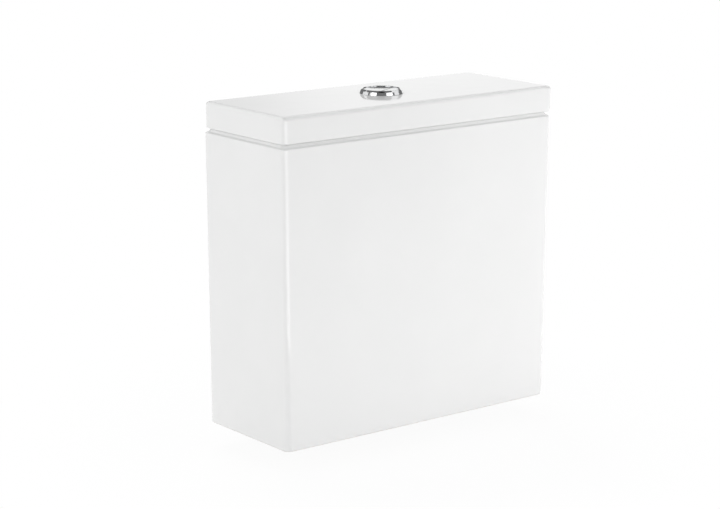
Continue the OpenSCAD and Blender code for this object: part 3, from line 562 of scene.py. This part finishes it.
def make_button(name, side, body, node):
    """One part of the split button: a shell with a dished cap, cut along the split and closed again."""
    rim_r = 19.6
    rim_z = 379.95
    dish = 0.8
    button = loft(name, round_ring, round_rings([
        (19.2, 378.6, 0),
        (19.2, 371.0, 0.2),
        (20.6, 371.0, 0.2),
        (20.6, 380.0, 0.5),
        *((r, rim_z - dish * (1 - (r / rim_r) ** 2), 0) for r in (rim_r, 17, 14, 11, 8, 5, 2)),
    ], sides=FINE_SIDES))
    across = (math.cos(SPLIT_TURN), math.sin(SPLIT_TURN))
    away = (-side * across[1], side * across[0], 0)
    edge = -side * SPLIT_SHIFT + SPLIT_GAP / 2
    cut = (away[0] * edge, away[1] * edge, 0)
    open_all(button)
    bpy.ops.mesh.bisect(plane_co=cut, plane_no=away, use_fill=True, clear_inner=True)
    bpy.ops.object.mode_set(mode="OBJECT")
    soften(button, CAP_ROUND, angle=50)
    finish(button, FINISHES["chrome"], body, "chrome", node)


def make_spring(name, side, node):
    """A round wire wound up round the push rod."""
    spring = begin(name)
    wire_r = 0.35 * MM
    lift = 0.35 * MM
    coil_r = 5 * MM
    turns = 5
    rise = 12.6 * MM
    bpy.ops.mesh.primitive_circle_add(vertices=10, radius=wire_r, location=(coil_r, 0, 0),
                                      rotation=(math.pi / 2, 0, 0))
    bpy.ops.object.mode_set(mode="OBJECT")
    modify(spring, "SCREW", angle=2 * math.pi, screw_offset=rise / turns, iterations=turns, steps=32,
           render_steps=32, use_normal_calculate=True, use_merge_vertices=False)
    x, y = -side * ROD_X, side * ROD_Y
    turn_x = math.cos(SPLIT_TURN) * x - math.sin(SPLIT_TURN) * y
    turn_y = math.sin(SPLIT_TURN) * x + math.cos(SPLIT_TURN) * y
    open_all(spring)
    bpy.ops.mesh.fill_holes(sides=0)
    close_skin()
    bpy.ops.transform.translate(value=(turn_x, turn_y, SHELF_TOP + wire_r + lift))
    bpy.ops.object.mode_set(mode="OBJECT")
    smooth(spring, angle=60)
    finish(spring, FINISHES["steel"], "lid", "steel", node)
    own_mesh(spring)


# Fittings below the floor

def thread(radius, depth, pitch, low, high, centre):
    """A closed helical ridge, to be joined to a plain core."""
    ridge = begin("thread")
    sunk = 0.25 * MM
    root = radius - depth - sunk
    crest = 0.12 * pitch
    flank = 0.44 * pitch
    bpy.ops.mesh.primitive_plane_add(size=1, location=(0, 0, 0), rotation=(math.pi / 2, 0, 0))
    mesh = bmesh.from_edit_mesh(ridge.data)
    for vert in mesh.verts:
        if vert.co.x > 0:
            vert.co = (radius, 0, math.copysign(crest / 2, vert.co.z))
        else:
            vert.co = (root, 0, math.copysign(flank, vert.co.z))
    bmesh.update_edit_mesh(ridge.data)
    bpy.ops.mesh.select_all(action="SELECT")
    bpy.ops.mesh.delete(type="ONLY_FACE")
    bpy.ops.object.mode_set(mode="OBJECT")
    turns = int((high - low) / pitch) - 1
    modify(ridge, "SCREW", angle=2 * math.pi, screw_offset=pitch, iterations=turns, steps=36, render_steps=36,
           use_merge_vertices=False)
    spare = high - low - (turns * pitch + 2 * flank)
    open_all(ridge)
    bpy.ops.mesh.fill_holes(sides=0)
    close_skin()
    bpy.ops.transform.translate(value=(*centre, low + flank + spare / 2))
    bpy.ops.object.mode_set(mode="OBJECT")
    return ridge


def make_shank():
    """The fill valve's foot: a threaded tail for the supply hose, a shank through the floor and a socket
    for the riser."""
    low, high = (corner.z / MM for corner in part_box("inlet_shank"))
    centre = (INLET_X, 0)
    shank = loft("threaded_shank", round_ring, round_rings([
        (6, low, 0.3),
        (9.35, low, 0.6),
        (9.35, 7.5, 0.2),
        (12, 8, 0.4),
        (12, 35, 0.3),
        (19, 35, 0.5),
        (19, 39, 0.8),
        (14.1, 39, 0.8),
        (14.1, high, 0.5),
        (11.1, high, 0.4),
        (11.1, 59, 0.3),
        (6, 59, 0.4),
    ], centre, 64), joined=True)
    combine(shank, "UNION", thread(radius=10.45 * MM, depth=1.16 * MM, pitch=1.81 * MM,
                                    low=low * MM, high=8 * MM, centre=centre))
    smooth(shank, angle=30)
    finish(shank, FINISHES["white_plastic"], "cistern", "white_plastic", "inlet_shank")


def make_bolts():
    """Two hexagon-headed bolts, modelled once and copied across."""
    low, high = (corner.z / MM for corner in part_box("coupling_bolts"))
    head_foot = 37.5
    head_r = 7.5
    head_round = 0.5 * MM
    centre = (-BOLT_X, 0)
    bolt = loft("threaded_bolts", round_ring, round_rings([
        (2.8, low, 0),
        (3.4, low + 0.8, 0),
        (3.4, 11.5, 0.2),
        (3.95, 11.6, 0),
        (3.95, head_foot + 1, 0),
    ], centre, 48))
    head = loft("head", round_ring, [(z * MM, head_r * MM, centre, 6) for z in (head_foot, high)])
    soften(head, head_round, angle=20)
    combine(bolt, "UNION", head, thread(radius=3.98 * MM, depth=0.62 * MM, pitch=1.25 * MM,
                                        low=low * MM, high=11.4 * MM, centre=centre))
    open_all(bolt)
    bpy.ops.mesh.duplicate()
    bpy.ops.transform.translate(value=(2 * BOLT_X, 0, 0))
    bpy.ops.object.mode_set(mode="OBJECT")
    smooth(bolt, angle=30)
    finish(bolt, FINISHES["steel"], "cistern", "steel", "coupling_bolts")


def make_gasket():
    """The sponge ring between tank and pan, round the backnut, with sealing ribs moulded on its flank."""
    gasket = loft("sponge_gasket", round_ring, round_rings([
        (29.95, -4, 1),
        (46.6, -4, 2.2),
        (47.2, 1, 0),
        (46.6, 2, 0.6),
        (47.9, 5.5, 0.8),
        (47.3, 7, 0.6),
        (48.6, 10.5, 0.8),
        (48.0, 12, 0.6),
        (49.6, 17, 0),
        (49.7, 19.9, 0.9),
        (44.25, 19.9, 0.6),
        (44.25, 6, 1),
        (29.95, 6, 0.6),
    ], sides=96), joined=True)
    smooth(gasket, angle=60)
    finish(gasket, FINISHES["foam"], "cistern", "foam", "coupling_gasket")


make_tank()
make_lid()
make_bezel()
make_button("full_flush_cap", 1, "full_button", "full_flush_button")
make_button("half_flush_cap", -1, "half_button", "half_flush_button")
make_spring("full_flush_spring", 1, "full_return_spring")
make_spring("half_flush_spring", -1, "half_return_spring")
make_shank()
make_bolts()
make_gasket()


# The other fittings: each solid's copy with its edges rounded as moulded

def round_off(node, body, slot):
    """A copy of a solid, merged, with its flat faces whole again and its edges rounded."""
    source = frame["nodes"][node]
    piece = bpy.data.objects.new("rounded_" + node, source.data.copy())
    bpy.context.scene.collection.objects.link(piece)
    open_all(piece)
    bpy.ops.mesh.remove_doubles(threshold=MERGE_REACH)
    bpy.ops.mesh.dissolve_limited(angle_limit=FLAT_ANGLE)
    bpy.ops.object.mode_set(mode="OBJECT")
    soften(piece, EDGE_ROUND, angle=35)
    finish(piece, FINISHES[slot], body, slot, node)


MADE = {"tank", "lid", "button_bezel", "full_flush_button", "half_flush_button", "full_return_spring",
        "half_return_spring", "inlet_shank", "coupling_bolts", "coupling_gasket"}
SLOT_OF = {part["node"]: part["material_slot"] for part in frame["record"]["subparts"]}
for body, nodes in frame["record"]["behaviour"]["bodies"].items():
    for node in nodes:
        if node not in MADE:
            round_off(node, body, SLOT_OF[node])


# Picture

def stage_card(name, size, place, turn, material):
    """A flat card of the studio, not part of the object."""
    bpy.ops.object.select_all(action="DESELECT")
    bpy.ops.mesh.primitive_plane_add(size=1, location=place, rotation=turn)
    card = bpy.context.object
    card.name = name
    card.scale = (*size, 1)
    card.data.materials.append(material)
    return card


def shown_rays(tree):
    """1 for the rays that see, mirror or pass through, and 0 for the rays that light."""
    path = tree.nodes.new("ShaderNodeLightPath")
    seen, mirrored, passed = (Wire(tree, path.outputs[name])
                              for name in ("Is Camera Ray", "Is Glossy Ray", "Is Transmission Ray"))
    return seen + mirrored + passed


def studio_finish(name):
    """A new material with no nodes, and its wire."""
    material = bpy.data.materials.new(name)
    material.use_nodes = True
    material.node_tree.nodes.clear()
    return material, Wire(material.node_tree)


def glow(wire, strength, colour=WHITE):
    """A light of its own."""
    return wire.node("ShaderNodeEmission", None, {"Color": colour, "Strength": strength})


def cover(wire, shader):
    """Puts the shader on the surface."""
    wire.node("ShaderNodeOutputMaterial", None, {"Surface": shader})


def floor_finish():
    """White to the eye and to mirrors, with a soft shadow kept near the object, and pale paper to the
    lamps. The shadow fades between two distances, in widths of the floor."""
    near = 0.025
    far = 0.06
    material, wire = studio_finish("white_paper")
    place = wire.node("ShaderNodeTexCoord", out="Object")
    away = wire.node("ShaderNodeVectorMath", {"operation": "LENGTH"}, {0: place}, out="Value")
    white = glow(wire, 1)
    paper = wire.node("ShaderNodeBsdfDiffuse", None, {"Color": (0.85, 0.85, 0.85, 1)})
    share = (1 - SHADOW_SHARE) + away.ramp(near, far) * SHADOW_SHARE
    both = wire.node("ShaderNodeMixShader", None, {0: shown_rays(wire.tree) * share, 1: paper, 2: white})
    cover(wire, both)
    return material


def card_finish(name, strength):
    """An even tone, from black cloth at 0 to a lit card above 1."""
    material, wire = studio_finish(name)
    cover(wire, glow(wire, strength))
    return material


def fading_finish():
    """Cloth that fades along its width from white to grey."""
    material, wire = studio_finish("fading_cloth")
    place = wire.node("ShaderNodeTexCoord", out="Object")
    across = wire.node("ShaderNodeSeparateXYZ", None, {"Vector": place}, out="X")
    tone = across.ramp(-0.5, 0.5).blend(WHITE, (0.7, 0.7, 0.7, 1))
    cover(wire, glow(wire, 1, tone))
    return material


def painted_edge_finish(name, strength):
    """A painted reflection on the tank's near upright edge: an even tone, a painted highlight above 1 or a
    painted dark strip at 0, that only the tank's near upright edge mirrors: all other rays pass through the
    card.
    """
    material, wire = studio_finish(name)
    place = wire.node("ShaderNodeNewGeometry", out="Position")
    back = wire.node("ShaderNodeNewGeometry", out="Incoming")
    x, y, along, across = (wire.node("ShaderNodeSeparateXYZ", None, {"Vector": vector}, out=axis)
                           for vector in (place, back) for axis in "XY")
    miss = wire.math("ABSOLUTE", (x - NEAR_EDGE[0]) * across - (y - NEAR_EDGE[1]) * along, 0)
    clear = wire.node("ShaderNodeBsdfTransparent")
    light = glow(wire, strength)
    both = wire.node("ShaderNodeMixShader", None, {0: miss.ramp(EDGE_REACH, EDGE_CLEAR), 1: light, 2: clear})
    cover(wire, both)
    return material


def mirrored_card(name, size, place, turn, material):
    """A card that only shows in reflections."""
    card = stage_card(name, size, place, turn, material)
    card.visible_camera = card.visible_diffuse = card.visible_shadow = False


def flag(name, bearing, spread, reach, low, high, material):
    """An upright flag round the object, by its bearing from +X and the angle that it spreads over, both
    in degrees, and by its distance and its lower and upper edge."""
    way = math.radians(bearing)
    width = 2 * reach * math.tan(math.radians(spread / 2))
    mirrored_card(name, (width, high - low), (reach * math.cos(way), reach * math.sin(way), (low + high) / 2),
                  (math.pi / 2, 0, way + math.pi / 2), material)


def lamp(name, place, aim, size, power, mirrored=False):
    """A soft box turned towards its aim, with its power in watts."""
    bpy.ops.object.light_add(type="AREA", location=place)
    light = bpy.context.object
    light.name = name
    light.data.shape = "RECTANGLE"
    light.data.size, light.data.size_y = size
    light.data.energy = power
    light.visible_camera = False
    light.visible_glossy = mirrored
    x, y, z = (a - p for a, p in zip(aim, place))
    light.rotation_euler = (math.atan2(math.hypot(x, y), -z), 0, math.atan2(y, x) - math.pi / 2)


def make_world(strength):
    """White all round to the eye and to mirrors, and a weaker light to the object."""
    world = bpy.data.worlds.new("white_studio")
    bpy.context.scene.world = world
    world.use_nodes = True
    tree = world.node_tree
    tree.nodes.clear()
    wire = Wire(tree)
    level = shown_rays(tree) * (1 - strength) + strength
    light = wire.node("ShaderNodeBackground", None, {"Color": WHITE, "Strength": level})
    wire.node("ShaderNodeOutputWorld", None, {"Surface": light})


make_world(WORLD_LIGHT)
stage_card("floor", size=(FLOOR_WIDTH, FLOOR_WIDTH), place=(0, 0, cad_box[0][2] - FLOOR_DROP),
           turn=(0, 0, 0), material=floor_finish())
black = card_finish("black_cloth", strength=0)
grey = card_finish("grey_cloth", strength=0.2)
flag("eye_flag", bearing=232, spread=52, reach=2.4, low=0, high=2.2, material=grey)
flag("right_flag", bearing=306, spread=11, reach=2.6, low=0.1, high=1.9, material=grey)
flag("right_back_flag", bearing=5, spread=40, reach=2.6, low=0.1, high=1.9, material=grey)
flag("left_flag", bearing=158, spread=11, reach=2.6, low=0.1, high=1.9, material=grey)
flag("left_back_flag", bearing=86, spread=52, reach=2.6, low=0.1, high=2.6, material=grey)
flag("back_flag", bearing=36, spread=36, reach=2.5, low=0.97, high=2.2, material=grey)
flag("horizon_flag", bearing=56.75, spread=8.5, reach=2.5, low=0.5, high=1.02, material=fading_finish())
mirrored_card("ceiling_flag", size=(4.3, 5.1), place=(-1.05, -0.65, 2.2), turn=(0, 0, 0), material=grey)
mirrored_card("ceiling_strip", size=(1.3, 1.9), place=(-0.65, -0.82, 2.19), turn=(0, 0, EYE_YAW),
              material=black)
# Painted dark strip and painted highlight on the tank's near upright edge: cards that only rays leaving that
# edge see
mirrored_card("painted_corner_shade", size=(0.13, 0.335), place=(-0.436, -0.29, 0.1675),
              turn=(math.pi / 2, 0, math.radians(-48)), material=painted_edge_finish("painted_edge_shade", strength=0))
mirrored_card("painted_corner_highlight", size=(0.353, 0.305), place=(-0.233, -0.377, 0.1825),
              turn=(math.pi / 2, 0, 0), material=painted_edge_finish("painted_edge_highlight", strength=4))
lamp("back_top_box", place=(0.2, 1.3, 1.7), aim=(0, 0, 0.36), size=(1.2, 0.8), power=20)
lamp("right_box", place=(1.0, -0.75, 0.3), aim=(0, -0.05, 0.17), size=(0.6, 0.5), power=4.6)
lamp("low_box", place=(-0.5, -1.5, 0.1), aim=(0, -0.05, 0.1), size=(0.8, 0.3), power=2.2)
lamp("floor_strip", place=(-0.05, -0.48, 0), aim=(-0.05, -0.077, 0.03), size=(0.5, 0.08), power=0.28)
lamp("front_box", place=(0.34, -1.97, 1.45), aim=(0, 0, 0.2), size=(1.2, 1.1), power=5.6, mirrored=True)
lamp("left_box", place=(-1.98, -0.27, 1.45), aim=(0, 0, 0.2), size=(1.1, 1.1), power=8, mirrored=True)
lamp("end_box", place=(-1.8, 0.6, 0.3), aim=(-0.19, 0, 0.17), size=(0.6, 0.6), power=6.5)

eye = bpy.data.cameras.new("eye")
eye.lens = EYE_LENS
camera = bpy.data.objects.new("eye", eye)
camera.location = EYE
camera.rotation_euler = (math.pi / 2 - EYE_PITCH, 0, EYE_YAW)
bpy.context.scene.collection.objects.link(camera)
bpy.context.scene.camera = camera
bpy.context.scene.view_settings.view_transform = "Standard"
